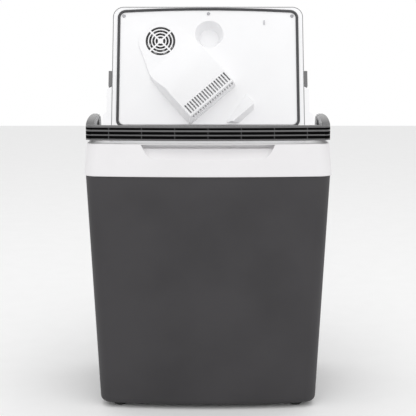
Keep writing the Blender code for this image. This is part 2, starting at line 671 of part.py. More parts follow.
def build_fan(prefix, base, pivot, look):
    """Square fan frame with a cross-bar, and its bladed rotor on an empty on the fan's axis."""
    x, s = FAN
    half = FAN_SIZE / 2
    back = base + FAN_DEPTH
    frame = box(prefix + "_fan_frame", spot(x - half, s + half, base), spot(x + half, s - half, back),
                look, pivot)
    combine(frame, cylinder(prefix + "_fan_corners", spot(x, s, base - 1), 35.2, FAN_DEPTH + 2, "Z",
                            None, pivot), "INTERSECT")
    combine(frame, cylinder(prefix + "_fan_hole", spot(x, s, base - 1), 25.5, FAN_DEPTH - 1, "Z", None,
                            pivot))
    halves = []
    for side in (-1, 1):
        near, far = sorted((side * 2, side * 26))
        halves.append((spot(x + near, s + 26, back - 2.5), spot(x + far, s - 26, back + 2)))
    slots = boxes(prefix + "_fan_back_slots", halves, pivot)
    round_slots = cylinder(prefix + "_fan_back_round", spot(x, s, back - 2.5), 25.5, 5, "Z", None,
                           pivot)
    combine(round_slots, slots, "INTERSECT")
    combine(frame, round_slots)

    axis = bpy.data.objects.new(prefix + "_fan_axis", None)
    PARTS.objects.link(axis)
    axis.parent = pivot
    axis.location = Vector(spot(x, s, base)) * MM
    rings = []
    for z, twist in ((0.6, 0.0), (5.2, 22.0)):
        ring = []
        for blade in range(7):
            start = 360 / 7 * blade + twist
            ring += arc((0, 0), 9.5, start, start + 24, 2)
            ring += arc((0, 0), 24.5, start + 27, start + 35, 1)
        rings.append(level(ring, z))
    loft(prefix + "_fan_rotor", rings, look, axis)


def comb(length, base, fin, pitch, thickness):
    """Outline of a finned heat sink seen from its end: a base with upright fins."""
    points = [(-length / 2, 0.0), (length / 2, 0.0)]
    count = int((length - thickness) / pitch) + 1
    spread = (length - thickness) / (count - 1)
    for i in range(count):
        right = length / 2 - i * spread
        left = right - thickness
        if i > 0:
            points.append((right, base))
        points += [(right, base + fin), (left, base + fin)]
        if i < count - 1:
            points.append((left, base))
    return points


def heat_sink(name, length, width, base, fin, pitch, start, up, pivot):
    """Extruded heat sink, its fins pointing up the lid (up=1) or down into the box (up=-1)."""
    x, s = FAN
    rings = []
    for y in (-s - width / 2, -s + width / 2):
        rings.append([(x + px, y, height(start) + up * pz)
                      for px, pz in comb(length, base, fin, pitch, 1.4)])
    loft(name, rings, ALUMINIUM, pivot)


def build_cooling_unit(pivot):
    """Stack through the lid: cold fan, cold sink, spacer, module, hot sink and hot fan."""
    x, s = FAN
    build_fan("cold", GRILLE_TOP + DUCT_WALL + 0.4, pivot, DARK)
    heat_sink("cold_heat_sink", SINK_X, SINK_Y, 1.8, 2.6, 6.0, MODULE_LOW - 2.1, -1, pivot)
    box("spacer_block", spot(x - 20, s + 20, MODULE_LOW - 1.8), spot(x + 20, s - 20, MODULE_LOW - GAP),
        ALUMINIUM, pivot)
    box("peltier_module", spot(x - 20, s + 20, MODULE_LOW), spot(x + 20, s - 20, MODULE_HIGH), CERAMIC,
        pivot)
    heat_sink("hot_heat_sink", 90.0, 72.0, 3.0, 10.5, 6.4, MODULE_HIGH + GAP, 1, pivot)
    build_fan("hot", MODULE_HIGH + 14.1, pivot, DARK)


# --- openings, sockets and controls in the lid shell ------------------------------------------

def build_vents(shell, pivot):
    x, s = FAN
    combine(shell, cylinder("top_vent_opening", spot(x, s, LID_TOP - 6), 27.5, 12, "Z", None, pivot))
    cover = cylinder("top_vent_cover", spot(x, s, LID_TOP - 2.4), 27.2, 2.4, "Z", DARK, pivot)
    slots = []
    for k in range(-4, 5):
        reach = math.sqrt(23.5 ** 2 - (k * 5.0) ** 2)
        slots.append((spot(x + k * 5 - 1.5, s + reach, LID_TOP - 5), spot(x + k * 5 + 1.5, s - reach,
                                                                          LID_TOP + 2)))
    combine(cover, boxes("top_vent_slots", slots, pivot))

    low, high = 15.0, 35.0
    combine(shell, box("rear_outlet_opening", spot(-60, 1, low), spot(60, LID_BACK - 2, high), None,
                       pivot))
    grille = box("rear_outlet_grille", spot(-60 + GAP, -1.2, low + GAP),
                 spot(60 - GAP, LID_BACK, high - GAP), DARK, pivot)
    slots = [(spot(k * 8.0 - 2.5, 1, low + 3), spot(k * 8.0 + 2.5, LID_BACK - 2, high - 3))
             for k in range(-6, 7)]
    combine(grille, boxes("rear_outlet_slots", slots, pivot))


def build_sockets(shell, pivot):
    """Mains and vehicle supply inlets in the rear wall, each a block with its socket open to the rear."""
    for name, x, half, low, high in (("ac_inlet", -140.0, 13.0, 21.5, 38.5),
                                     ("dc_inlet", -104.0, 10.0, 22.0, 38.0)):
        combine(shell, box(name + "_opening", spot(x - half, 1, low), spot(x + half, LID_BACK - 2, high),
                           None, pivot))
        socket = box(name, spot(x - half + GAP, 14, low + GAP),
                     spot(x + half - GAP, LID_BACK, high - GAP), DARK, pivot)
        combine(socket, box(name + "_socket", spot(x - half + 3, 8, low + 3),
                            spot(x + half - 3, LID_BACK - 2, high - 3), None, pivot))
        for i in range(2):
            px = x + (i - 0.5) * 7.0
            cylinder("{}_contact_{}".format(name, i + 1), (px, -8 + GAP, height((low + high) / 2)),
                     1.2, 5, "Y", STEEL, pivot, sides=12)


def build_controls(shell, pivot):
    x0, x1 = FASCIA_X
    s0, s1 = FASCIA_S
    combine(shell, box("fascia_opening", spot(x0, s1, LID_TOP - 5), spot(x1, s0, LID_TOP + 3), None,
                       pivot))
    fascia = box("control_fascia", spot(x0 + GAP, s1 - GAP, LID_TOP - 2.4),
                 spot(x1 - GAP, s0 + GAP, LID_TOP + 0.4), DARK, pivot)
    sx, ss = SLIDE
    rx, rs = ROCKER
    windows = [(spot(sx - 8, ss + 3.4, LID_TOP - 5), spot(sx + 8, ss - 3.4, LID_TOP + 3)),
               (spot(rx - 8, rs + 5, LID_TOP - 5), spot(rx + 8, rs - 5, LID_TOP + 3))]
    combine(fascia, boxes("fascia_windows", windows, pivot))
    box("mode_slider", spot(sx - 4, ss + 3, LID_TOP - 3), spot(sx + 4, ss - 3, LID_TOP + 3.5),
        WHITE, pivot)

    axis = bpy.data.objects.new("eco_rocker_axis", None)
    PARTS.objects.link(axis)
    axis.parent = pivot
    axis.location = Vector(spot(rx, rs, LID_TOP - 1)) * MM
    profile = [(-6.8, -2.4), (6.8, -2.4), (6.8, 2.6)] + arc((0, 18.0), 16.5, 294, 246, 6)
    profile += [(-6.8, 2.6)]
    rings = [[(px, y, pz) for px, pz in profile] for y in (-4.5, 4.5)]
    loft("eco_rocker", rings, WHITE, axis)

    for name, (lx, ls), look in (("green_lens", GREEN_LENS_SPOT, GREEN_LENS),
                                 ("red_lens", RED_LENS_SPOT, RED_LENS)):
        combine(fascia, cylinder(name + "_hole", spot(lx, ls, LID_TOP - 5), 2.6, 9, "Z", None, pivot,
                                 sides=16))
        cylinder(name, spot(lx, ls, LID_TOP - 3), 2.3, 3.9, "Z", look, pivot, sides=16)


def build_boards(pivot):
    """Circuit boards on the foam, with their tallest components."""
    control = box("control_board", spot(78, 150, 27), spot(150, 205, 28.6), BOARD, pivot)
    combine(control, box("control_chips", spot(86, 160, 28), spot(142, 196, 34), None, pivot), "UNION")
    supply = box("power_supply_board", spot(40, 60, 27), spot(150, 135, 28.6), BOARD, pivot)
    parts = box("supply_transformer", spot(60, 75, 28), spot(95, 110, 40), None, pivot)
    combine(supply, parts, "UNION")
    can = cylinder("supply_capacitor", spot(122, 98, 28), 9, 13, "Z", None, pivot, sides=20)
    combine(supply, can, "UNION")


def lead(name, points, radius, look, pivot):
    """Insulated lead as a tube along straight runs, its loose caps welded shut."""
    curve = bpy.data.curves.new(name, "CURVE")
    curve.dimensions = "3D"
    curve.bevel_depth = radius * MM
    curve.bevel_resolution = 2
    curve.use_fill_caps = True
    spline = curve.splines.new("POLY")
    spline.points.add(len(points) - 1)
    for target, point in zip(spline.points, points):
        target.co = (*(Vector(spot(*point)) * MM), 1.0)
    guide = bpy.data.objects.new(name + "_route", curve)
    CUTTERS.objects.link(guide)
    evaluated = guide.evaluated_get(bpy.context.evaluated_depsgraph_get())
    mesh = bpy.data.meshes.new_from_object(evaluated)
    bpy.data.objects.remove(guide, do_unlink=True)
    bm = bmesh.new()
    bm.from_mesh(mesh)
    bmesh.ops.remove_doubles(bm, verts=bm.verts, dist=1e-5)
    bmesh.ops.recalc_face_normals(bm, faces=bm.faces)
    bm.to_mesh(mesh)
    bm.free()
    mesh.materials.clear()
    mesh.materials.append(look)
    made = bpy.data.objects.new(name, mesh)
    PARTS.objects.link(made)
    made.parent = pivot


def build_leads(pivot):
    x, s = LEAD_HOLE
    lead("cold_fan_lead", [(-59.9, 173, 7), (-58.4, 160.5, 7), (-58.1, 157.6, 4), (-56.5, 154.8, 0.9), (x, s, 0.5), (x, s, 10),
                           (x, s, 27), (-42, 137, 29), (-20, 132, 29.3), (30, 146, 29.3),
                           (60, 160, 29), (77, 165, 28.2)], 1.1, DARK, pivot)
    lead("hot_fan_lead", [(-59.2, 190, 37), (-52, 200, 38), (-36, 222, 38), (-10, 235, 38),
                          (30, 236, 37), (60, 220, 34), (77, 192, 28.2)], 1.1, DARK, pivot)
    lead("supply_lead", [(-104, 14.6, 30), (-104, 30, 30), (-100, 44, 29.5), (-60, 60, 29.5),
                         (0, 76, 29.5), (39, 84, 28.2)], 1.6, DARK, pivot)
    lead("mains_lead", [(-140, 14.6, 30), (-140, 26, 32), (-130, 34, 35), (-60, 44, 35),
                        (0, 60, 33), (39, 70, 29)], 1.6, DARK, pivot)


# --- assembly --------------------------------------------------------------------------------

def add_empty(name, location, parent=None):
    made = bpy.data.objects.new(name, None)
    PARTS.objects.link(made)
    made.location = Vector(location) * MM
    made.parent = parent
    return made


def stand_on_origin(root):
    """Slide the model along Y until the middle of its box is over the origin."""
    bpy.context.view_layer.update()
    graph = bpy.context.evaluated_depsgraph_get()
    reach = []
    for item in PARTS.objects:
        if item.type == "MESH":
            solid = item.evaluated_get(graph)
            reach += [(item.matrix_world @ Vector(corner)).y for corner in solid.bound_box]
            reach += [(item.matrix_world @ vertex.co).y for vertex in solid.data.vertices]
    root.location.y -= (min(reach) + max(reach)) / 2


def build():
    root = add_empty("cool_box_root", (0, 0, 0))
    build_tub(root)
    build_collar(root)
    build_pivot_brackets(root)
    build_feet(root)
    build_hinge_pins(root)
    build_handle(add_empty("handle_pivot", (0, PIVOT_Y, PIVOT_Z), root))
    lid = add_empty("lid_pivot", (0, HINGE_Y, COLLAR_TOP - HINGE_DROP), root)
    lid.rotation_euler.x = -math.radians(OPEN_ANGLE)
    shell = build_lid_shell(lid)
    build_lid_lugs(lid)
    build_gasket(lid)
    build_liner(lid)
    build_liner_screws(lid)
    build_insulation(lid)
    build_duct(lid)
    build_cooling_unit(lid)
    build_vents(shell, lid)
    build_sockets(shell, lid)
    build_controls(shell, lid)
    build_boards(lid)
    build_leads(lid)
    stand_on_origin(root)


build()
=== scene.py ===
"""Studio scene of a thermoelectric cool box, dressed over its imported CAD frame."""
import json
import math

import bmesh
import bpy
from mathutils import Euler, Matrix, Vector


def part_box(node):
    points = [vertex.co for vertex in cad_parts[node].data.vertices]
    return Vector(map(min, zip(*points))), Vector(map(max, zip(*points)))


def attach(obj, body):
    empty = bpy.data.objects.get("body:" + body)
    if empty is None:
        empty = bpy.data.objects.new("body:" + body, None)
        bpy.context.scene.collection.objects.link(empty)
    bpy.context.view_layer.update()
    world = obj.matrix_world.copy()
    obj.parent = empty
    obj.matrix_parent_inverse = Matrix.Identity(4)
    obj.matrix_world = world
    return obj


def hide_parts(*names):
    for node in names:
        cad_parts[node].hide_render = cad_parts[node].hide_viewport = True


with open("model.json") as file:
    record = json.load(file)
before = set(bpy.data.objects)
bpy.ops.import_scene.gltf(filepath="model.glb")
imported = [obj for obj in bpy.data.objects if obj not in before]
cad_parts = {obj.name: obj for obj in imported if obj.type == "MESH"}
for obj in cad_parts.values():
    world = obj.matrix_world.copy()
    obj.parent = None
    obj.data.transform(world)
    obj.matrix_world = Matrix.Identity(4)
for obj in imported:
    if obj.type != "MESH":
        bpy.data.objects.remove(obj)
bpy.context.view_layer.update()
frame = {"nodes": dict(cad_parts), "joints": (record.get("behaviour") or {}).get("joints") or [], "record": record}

# Driving sizes in millimetres. They follow the CAD model, except where a piece is drawn finer here:
# the handle's arms, the duct's rounded outlet end, the gasket's corners and the scoop's grip.
MM = 0.001
COLLAR_TOP, COLLAR_BOTTOM = 440.0, 388.0
COLLAR_HALF_X, COLLAR_TOP_HALF_X = 199.0, 194.3
COLLAR_ROUND, LEDGE_DROP = 1.8, 4.0
RIM, SCOOP_HEIGHT, SCOOP_HALF_X, SCOOP_FLARE = 1.2, 29.0, 92.0, 14.0
SCOOP_LIP, SCOOP_DEPTH, SCOOP_CORNER = 4.0, 16.0, 7.0
GRIP_FROM, GRIP_DEPTH = 0.76, 9.0
BODY_FRONT, BODY_BACK, FRONT_BOW = -136.0, 140.0, 14.0
TUB_FLOOR, TUB_HALF_X = 7.0, 197.0
TUB_DRAFT, TUB_FRONT_DRAFT = 0.0468, 0.025
TUB_ROUND_IN, TUB_ROUND_UP, TUB_SKIN, TUB_RIM = 8.0, 9.0, 2.2, 2.5
PLAN_RADIUS = 20.0
MOUTH_HALF_X, MOUTH_FRONT, MOUTH_BACK, MOUTH_RADIUS = 160.0, -110.0, 108.5, 20.0
LINER_WALL, LINER_FLOOR, LINER_DRAFT, LINER_ROUND = 2.0, 40.0, 0.012, 8.0
GAP = 0.3
HINGE_Y, HINGE_DROP = 131.0, 8.5
KNUCKLE_RADIUS, KNUCKLE_X, PIN_RADIUS = 7.5, (94.0, 146.0), 2.5
FLANGE, LID_TOP, LID_WALL, LINER_THICK = 3.0, 46.0, 2.5, 2.5
LID_FRONT, LID_BACK, LID_HALF_X = 253.5, -4.0, 180.0
LID_CORNER, LID_ROUND_UP, LID_ROUND_IN, LIP_HALF_X = 20.0, 9.0, 8.0, 42.0
CHEEK_X, CHEEK_CORNER_X, CHEEK_CORNER = 189.0, 196.0, 8.0
GASKET_HALF_X, GASKET_REAR, GASKET_FRONT, GASKET_BOW = 168.5, 19.5, 248.7, 5.0
GASKET_CORNER, GASKET_HALF, GASKET_CROWN, LINER_INSET, LINER_CORNER = 12.0, 2.5, 1.5, 3.0, 10.0
VENT_RADIUS, OUTLET_HALF_X, OUTLET_LOW, OUTLET_HIGH = 27.5, 60.0, 15.0, 35.0
INLETS = ((-140.0, 13.0, 21.5, 38.5), (-104.0, 10.0, 22.0, 38.0))
FASCIA_X, FASCIA_S = (72.0, 146.0), (196.0, 166.0)
PIVOT_Y, PIVOT_Z = -14.0, 461.0
ARM_WEB_INNER, ARM_OUTER, ARM_INNER = 188.0, 194.5, 181.6
ARM_TOP, ARM_BACK = 480.0, 3.0
BAR_BOTTOM, BAR_TOP = 445.0, 469.0
BAR_CORNER, BAR_END_Y = 12.0, -118.0
WEB_PITCH, WEB_HALF = 52.3, 0.45
HUB_RADIUS, BOSS_RADIUS, BORE_RADIUS, SEAT_RADIUS = 17.0, 9.5, 3.3, 9.3
ARM_FRONT, CROWN_BACK, CROWN_REACH, HOLLOW_FRONT = -126.0, -40.0, 84.0, -76.0
FAN, DUCT_WALL, DUCT_ANGLE = (-89.5, 184.3), 2.2, -48.4
GRILLE_TOP, DUCT_TOP = 0.0, -20.0
GRILLE_RINGS, SPOKE = ((5.0, 9.4), (11.5, 15.5), (17.6, 21.7), (23.8, 28.0)), 3.0
DUCT_RADIUS, DUCT_NEAR_SIDE, DUCT_FAR_SIDE = 38.5, 57.5, -46.0
DUCT_END, DUCT_FOOT = 152.0, 159.0
SLOTS, SLOT_PITCH, SLOT_FIRST, SLOT_WIDTH = 17, 5.93, -42.4, 3.2
FACE_SLOTS, WALL_SLOTS = (129.2, 148.6), (148.0, 172.0)
BOTTLE, CUP_DEPTH = (2.3, 199.0), 26.0
CUP_MOUTH, CUP_BASE, CUP_OUTER_MOUTH, CUP_OUTER_BASE = 27.0, 17.8, 28.2, 20.0
COLD_HOLE_RADIUS, SCREW_HOLE_RADIUS = 35.6, 1.8
DEFLECTOR_RISE = 11.0
DEFLECTOR_FOOT = ((70, 84), (85, 62), (85, 50), (58, 25.5), (34, 25.5), (33, 29))
DEFLECTOR_RIDGE = ((83.5, 62.8), (85, 61.6), (85, 59.8), (46.4, 26), (44.4, 26.6), (45, 28.2))
SCREWS = ((-159.0, 235.0), (1.0, 239.5), (159.0, 235.0))

JOINTS = {joint["name"]: joint for joint in frame["joints"]}


def joint_place(name):
    return Vector(JOINTS[name]["pos_m"])


# Frames in which the pieces are drawn, in millimetres, with where each stands in the world.
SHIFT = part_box("collar")[1][1] - BODY_BACK * MM
BODY = Matrix.Translation((0.0, SHIFT, 0.0))
OPENING = math.radians(JOINTS["lid_hinge"]["range_deg"][1])
LID = Matrix.Translation(joint_place("lid_hinge")) @ Matrix.Rotation(-OPENING, 4, "X")


# --- materials ---------------------------------------------------------------------------------

def nodes_of(name):
    made = bpy.data.materials.new(name)
    made.use_nodes = True
    tree = made.node_tree
    return made, tree, tree.nodes["Principled BSDF"]


def moulded(name, colour, dark, roughness, grain, depth, metallic=0.0, coat=0.0, wear=0.5, streak=1.0,
            specular=0.5):
    """Surface with fine grain, slow tone variation, worn brighter edges and uneven gloss."""
    made, tree, shader = nodes_of(name)
    new, link = tree.nodes.new, tree.links.new
    place = new("ShaderNodeTexCoord")
    stretch = new("ShaderNodeMapping")
    stretch.inputs["Scale"].default_value = (1.0, 1.0, streak)
    link(place.outputs["Object"], stretch.inputs["Vector"])

    broad = new("ShaderNodeTexNoise")
    broad.inputs["Scale"].default_value = 9.0
    broad.inputs["Detail"].default_value = 4.0
    link(stretch.outputs["Vector"], broad.inputs["Vector"])
    tone = new("ShaderNodeMix")
    tone.data_type = "RGBA"
    tone.inputs["A"].default_value = (*dark, 1.0)
    tone.inputs["B"].default_value = (*colour, 1.0)
    spread = new("ShaderNodeMapRange")
    spread.inputs["From Min"].default_value = 0.3
    spread.inputs["From Max"].default_value = 0.62
    link(broad.outputs["Fac"], spread.inputs["Value"])
    link(spread.outputs["Result"], tone.inputs["Factor"])

    bend = new("ShaderNodeNewGeometry")
    edge = new("ShaderNodeMapRange")
    edge.inputs["From Min"].default_value = 0.52
    edge.inputs["From Max"].default_value = 0.62
    edge.inputs["To Max"].default_value = wear
    link(bend.outputs["Pointiness"], edge.inputs["Value"])
    worn = new("ShaderNodeMix")
    worn.data_type = "RGBA"
    worn.inputs["B"].default_value = (*[min(0.92, c * 1.35 + 0.03) for c in colour], 1.0)
    link(tone.outputs["Result"], worn.inputs["A"])
    link(edge.outputs["Result"], worn.inputs["Factor"])
    link(worn.outputs["Result"], shader.inputs["Base Color"])

    fine = new("ShaderNodeTexNoise")
    fine.inputs["Scale"].default_value = grain
    fine.inputs["Detail"].default_value = 3.0
    link(stretch.outputs["Vector"], fine.inputs["Vector"])
    gloss = new("ShaderNodeMapRange")
    gloss.inputs["To Min"].default_value = roughness - 0.07
    gloss.inputs["To Max"].default_value = roughness + 0.09
    link(fine.outputs["Fac"], gloss.inputs["Value"])
    link(gloss.outputs["Result"], shader.inputs["Roughness"])
    bump = new("ShaderNodeBump")
    bump.inputs["Strength"].default_value = 0.5
    bump.inputs["Distance"].default_value = depth
    link(fine.outputs["Fac"], bump.inputs["Height"])
    link(bump.outputs["Normal"], shader.inputs["Normal"])
    shader.inputs["Metallic"].default_value = metallic
    shader.inputs["Coat Weight"].default_value = coat
    shader.inputs["Coat Roughness"].default_value = 0.2
    shader.inputs["Specular IOR Level"].default_value = specular
    return made


def cells(name, colour, dark, roughness, scale, depth):
    """Closed-cell foam: rounded cells pressed into the surface."""
    made, tree, shader = nodes_of(name)
    new, link = tree.nodes.new, tree.links.new
    place = new("ShaderNodeTexCoord")
    cell = new("ShaderNodeTexVoronoi")
    cell.inputs["Scale"].default_value = scale
    link(place.outputs["Object"], cell.inputs["Vector"])
    tone = new("ShaderNodeMix")
    tone.data_type = "RGBA"
    tone.inputs["A"].default_value = (*colour, 1.0)
    tone.inputs["B"].default_value = (*dark, 1.0)
    link(cell.outputs["Distance"], tone.inputs["Factor"])
    link(tone.outputs["Result"], shader.inputs["Base Color"])
    bump = new("ShaderNodeBump")
    bump.inputs["Distance"].default_value = depth
    link(cell.outputs["Distance"], bump.inputs["Height"])
    link(bump.outputs["Normal"], shader.inputs["Normal"])
    shader.inputs["Roughness"].default_value = roughness
    return made


# Near-black groove material: painted shade for the deep grooves of the handle bar, which are the handle's own dark
# plastic.
GROOVE_SHADE = moulded("handle_groove_painted_shade", (0.004, 0.004, 0.0045), (0.002, 0.002, 0.0025), 0.6, 1500.0,
                 0.00003, wear=0.0, specular=0.1)
# Mid-grey strip material: painted shade line along the lid's outer edge.
EDGE_SHADE = moulded("edge_painted_shade", (0.22, 0.22, 0.225), (0.19, 0.19, 0.195), 0.5, 1500.0, 0.00003,
               wear=0.0)
LOOKS = {
    "tub_grey": moulded("tub_plastic", (0.045, 0.043, 0.046), (0.036, 0.0345, 0.037), 0.5, 1400.0,
                        0.0001, wear=0.2, specular=0.3),
    "shell_white": moulded("shell_plastic", (0.80, 0.79, 0.80), (0.77, 0.76, 0.77), 0.38, 1100.0,
                           0.00004, wear=0.0),
    "liner_white": moulded("liner_plastic", (0.92, 0.92, 0.93), (0.90, 0.90, 0.91), 0.42, 900.0,
                           0.00003, wear=0.0),
    "handle_dark": moulded("handle_plastic", (0.085, 0.084, 0.086), (0.065, 0.064, 0.066), 0.22,
                           1500.0, 0.00003, wear=0.7, specular=0.9),
    "part_dark": moulded("dark_plastic", (0.020, 0.020, 0.021), (0.013, 0.013, 0.014), 0.42, 1300.0,
                         0.00006, wear=0.5),
    "foam": cells("rigid_foam", (0.74, 0.66, 0.44), (0.60, 0.50, 0.30), 0.9, 700.0, 0.0004),
    "seal_rubber": moulded("seal_rubber", (0.062, 0.062, 0.066), (0.045, 0.045, 0.048), 0.62, 1800.0,
                           0.00008, wear=0.4),
    "foot_rubber": moulded("foot_rubber", (0.012, 0.012, 0.012), (0.007, 0.007, 0.007), 0.5, 1600.0,
                           0.0001, wear=0.5),
    "steel": moulded("zinc_steel", (0.44, 0.44, 0.46), (0.36, 0.36, 0.38), 0.34, 800.0, 0.00003, 1.0,
                     wear=0.5, streak=0.2),
    "aluminium": moulded("extruded_aluminium", (0.74, 0.75, 0.77), (0.62, 0.63, 0.65), 0.38, 900.0,
                         0.00004, 1.0, wear=0.5, streak=0.05),
    "ceramic": moulded("ceramic_plate", (0.86, 0.86, 0.83), (0.80, 0.80, 0.78), 0.5, 1200.0, 0.00003),
    "board_green": moulded("board_mask", (0.02, 0.13, 0.05), (0.015, 0.10, 0.04), 0.35, 260.0,
                           0.00005, coat=0.4),
    "lens_red": moulded("red_lens", (0.55, 0.02, 0.015), (0.45, 0.015, 0.01), 0.2, 500.0, 0.00002,
                        coat=0.6),
    "lens_green": moulded("green_lens", (0.03, 0.45, 0.08), (0.02, 0.36, 0.06), 0.2, 500.0, 0.00002,
                          coat=0.6),
}


# --- building blocks, drawn in millimetres -----------------------------------------------------

def finish_mesh(name, bm):
    bmesh.ops.recalc_face_normals(bm, faces=bm.faces)
    mesh = bpy.data.meshes.new(name)
    bm.to_mesh(mesh)
    bm.free()
    made = bpy.data.objects.new(name, mesh)
    bpy.context.scene.collection.objects.link(made)
    return made


def loft(name, rings, closed=True):
    """Solid through rings of 3-D points, or a closed loop of rings when closed is False."""
    bm = bmesh.new()
    rows = [[bm.verts.new(point) for point in ring] for ring in rings]
    count = len(rows[0])
    pairs = list(zip(rows, rows[1:]))
    if not closed:
        pairs.append((rows[-1], rows[0]))
    for lower, upper in pairs:
        for i in range(count):
            j = (i + 1) % count
            bm.faces.new((lower[i], lower[j], upper[j], upper[i]))
    if closed:
        bm.faces.new(rows[0][::-1])
        bm.faces.new(rows[-1])
    return finish_mesh(name, bm)


def level(outline, z):
    return [(x, y, z) for x, y in outline]


def prism(name, outline, low, high):
    return loft(name, [level(outline, low), level(outline, high)])


def side_prism(name, outline, low, high):
    """Outline in the YZ plane, extruded along X."""
    return loft(name, [[(x, y, z) for y, z in outline] for x in (low, high)])


def box(name, low, high):
    bm = bmesh.new()
    low, high = Vector(low), Vector(high)
    bmesh.ops.create_cube(bm, size=1.0, matrix=Matrix.Translation((low + high) / 2)
                          @ Matrix.Diagonal((*(high - low), 1.0)))
    return finish_mesh(name, bm)


def cylinder(name, base, radius, height, axis="Z", top_radius=None, sides=96):
    turn = {"X": Euler((0, math.pi / 2, 0)), "Y": Euler((-math.pi / 2, 0, 0)), "Z": Euler((0, 0, 0))}
    bm = bmesh.new()
    bmesh.ops.create_cone(
        bm, cap_ends=True, segments=sides, radius1=radius,
        radius2=radius if top_radius is None else top_radius, depth=height,
        matrix=Matrix.Translation(base) @ turn[axis].to_matrix().to_4x4()
        @ Matrix.Translation((0, 0, height / 2)))
    return finish_mesh(name, bm)


def combine(target, other, operation="DIFFERENCE"):
    """Cut or join another solid into the target and drop it."""
    modifier = target.modifiers.new(other.name, "BOOLEAN")
    modifier.operation = operation
    modifier.object = other
    bake(target)
    bpy.data.objects.remove(other, do_unlink=True)


def bake(target):
    """Replace the target's mesh by what its modifiers make of it."""
    graph = bpy.context.evaluated_depsgraph_get()
    solid = bpy.data.meshes.new_from_object(target.evaluated_get(graph))
    target.modifiers.clear()
    target.data = solid


def arc(centre, radius, start, end, steps):
    points = []
    for i in range(steps + 1):
        angle = math.radians(start + (end - start) * i / steps)
        points.append((centre[0] + radius * math.cos(angle), centre[1] + radius * math.sin(angle)))
    return points


def rounded_plan(half_x, front, back, radius, bow=0.0, steps=14, bow_steps=44):
    """Rounded rectangle, counter-clockwise, whose front edge bulges forward by bow."""
    points = arc((-half_x + radius, front + radius), radius, 180, 270, steps)
    flat = 2 * (half_x - radius)
    for i in range(1, bow_steps if bow else 1):
        points.append((-half_x + radius + flat * i / bow_steps, front))
    points += arc((half_x - radius, front + radius), radius, 270, 360, steps)
    points += arc((half_x - radius, back - radius), radius, 0, 90, steps)
    points += arc((-half_x + radius, back - radius), radius, 90, 180, steps)
    middle = (front + back) / 2
    return [(x, y - bow * (1 - (x / half_x) ** 2) if y < middle else y) for x, y in points]


def offset(outline, distance):
    """Outline moved outward by distance along its corner normals (inward if negative)."""
    moved = []
    count = len(outline)
    for i, (x, y) in enumerate(outline):
        here = Vector((x, y))
        incoming = (here - Vector(outline[i - 1])).normalized()
        outgoing = (Vector(outline[(i + 1) % count]) - here).normalized()
        normal = Vector((incoming.y + outgoing.y, -incoming.x - outgoing.x)).normalized()
        stretch = max(0.5, normal.dot(Vector((outgoing.y, -outgoing.x))))
        moved.append(tuple(here + normal * distance / stretch))
    return moved


def hard_edges(made, width, segments, angle=28):
    """Round every edge sharper than the angle and keep the flats flat."""
    bevel = made.modifiers.new("rounding", "BEVEL")
    bevel.width = width
    bevel.segments = segments
    bevel.limit_method = "ANGLE"
    bevel.angle_limit = math.radians(angle)
    bevel.use_clamp_overlap = True
    bevel.harden_normals = False
    bevel.miter_outer = "MITER_ARC"


def dress(made, place, slot, body, replaced=(), rounding=0.0, segments=3, angle=28):
    """Stand a finished piece in the world, give it its look and hang it on its body."""
    made.data.transform(Matrix.Scale(MM, 4))
    made.data.transform(place)
    made.data.materials.clear()
    made.data.materials.append(LOOKS[slot])
    if rounding:
        weld = made.modifiers.new("weld", "WELD")
        weld.merge_threshold = 0.00002
        hard_edges(made, rounding * MM, segments, angle)
        bake(made)
    made.data.shade_smooth()
    made.data.set_sharp_from_angle(angle=math.radians(38))
    made.modifiers.new("flat_faces", "WEIGHTED_NORMAL").keep_sharp = True
    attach(made, body)
    if replaced:
        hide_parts(*replaced)
    return made


def height(w):
    """Distance above the hinge axis of a level of the closed lid."""
    return HINGE_DROP + w


def spot(x, s, w):
    """Point of the closed lid: s is the distance forward of the hinge axis."""
    return (x, -s, height(w))


# --- body --------------------------------------------------------------------------------------

def tub_plan(z, inset):
    """Plan of the outer tub at a height, tapering towards the floor."""
    drop = COLLAR_BOTTOM - z
    ends = drop * TUB_FRONT_DRAFT + inset
    return rounded_plan(TUB_HALF_X - drop * TUB_DRAFT - inset, BODY_FRONT + 2 + ends,
                        BODY_BACK - 2 - ends, PLAN_RADIUS - inset, FRONT_BOW)


def mouth_plan(z, grow):
    """Plan of the tub's opening at a height, drawn in towards the floor."""
    drop = (COLLAR_TOP - z) * LINER_DRAFT
    return rounded_plan(MOUTH_HALF_X - drop + grow, MOUTH_FRONT + drop - grow,
                        MOUTH_BACK - drop + grow, MOUTH_RADIUS + grow, FRONT_BOW / 2)


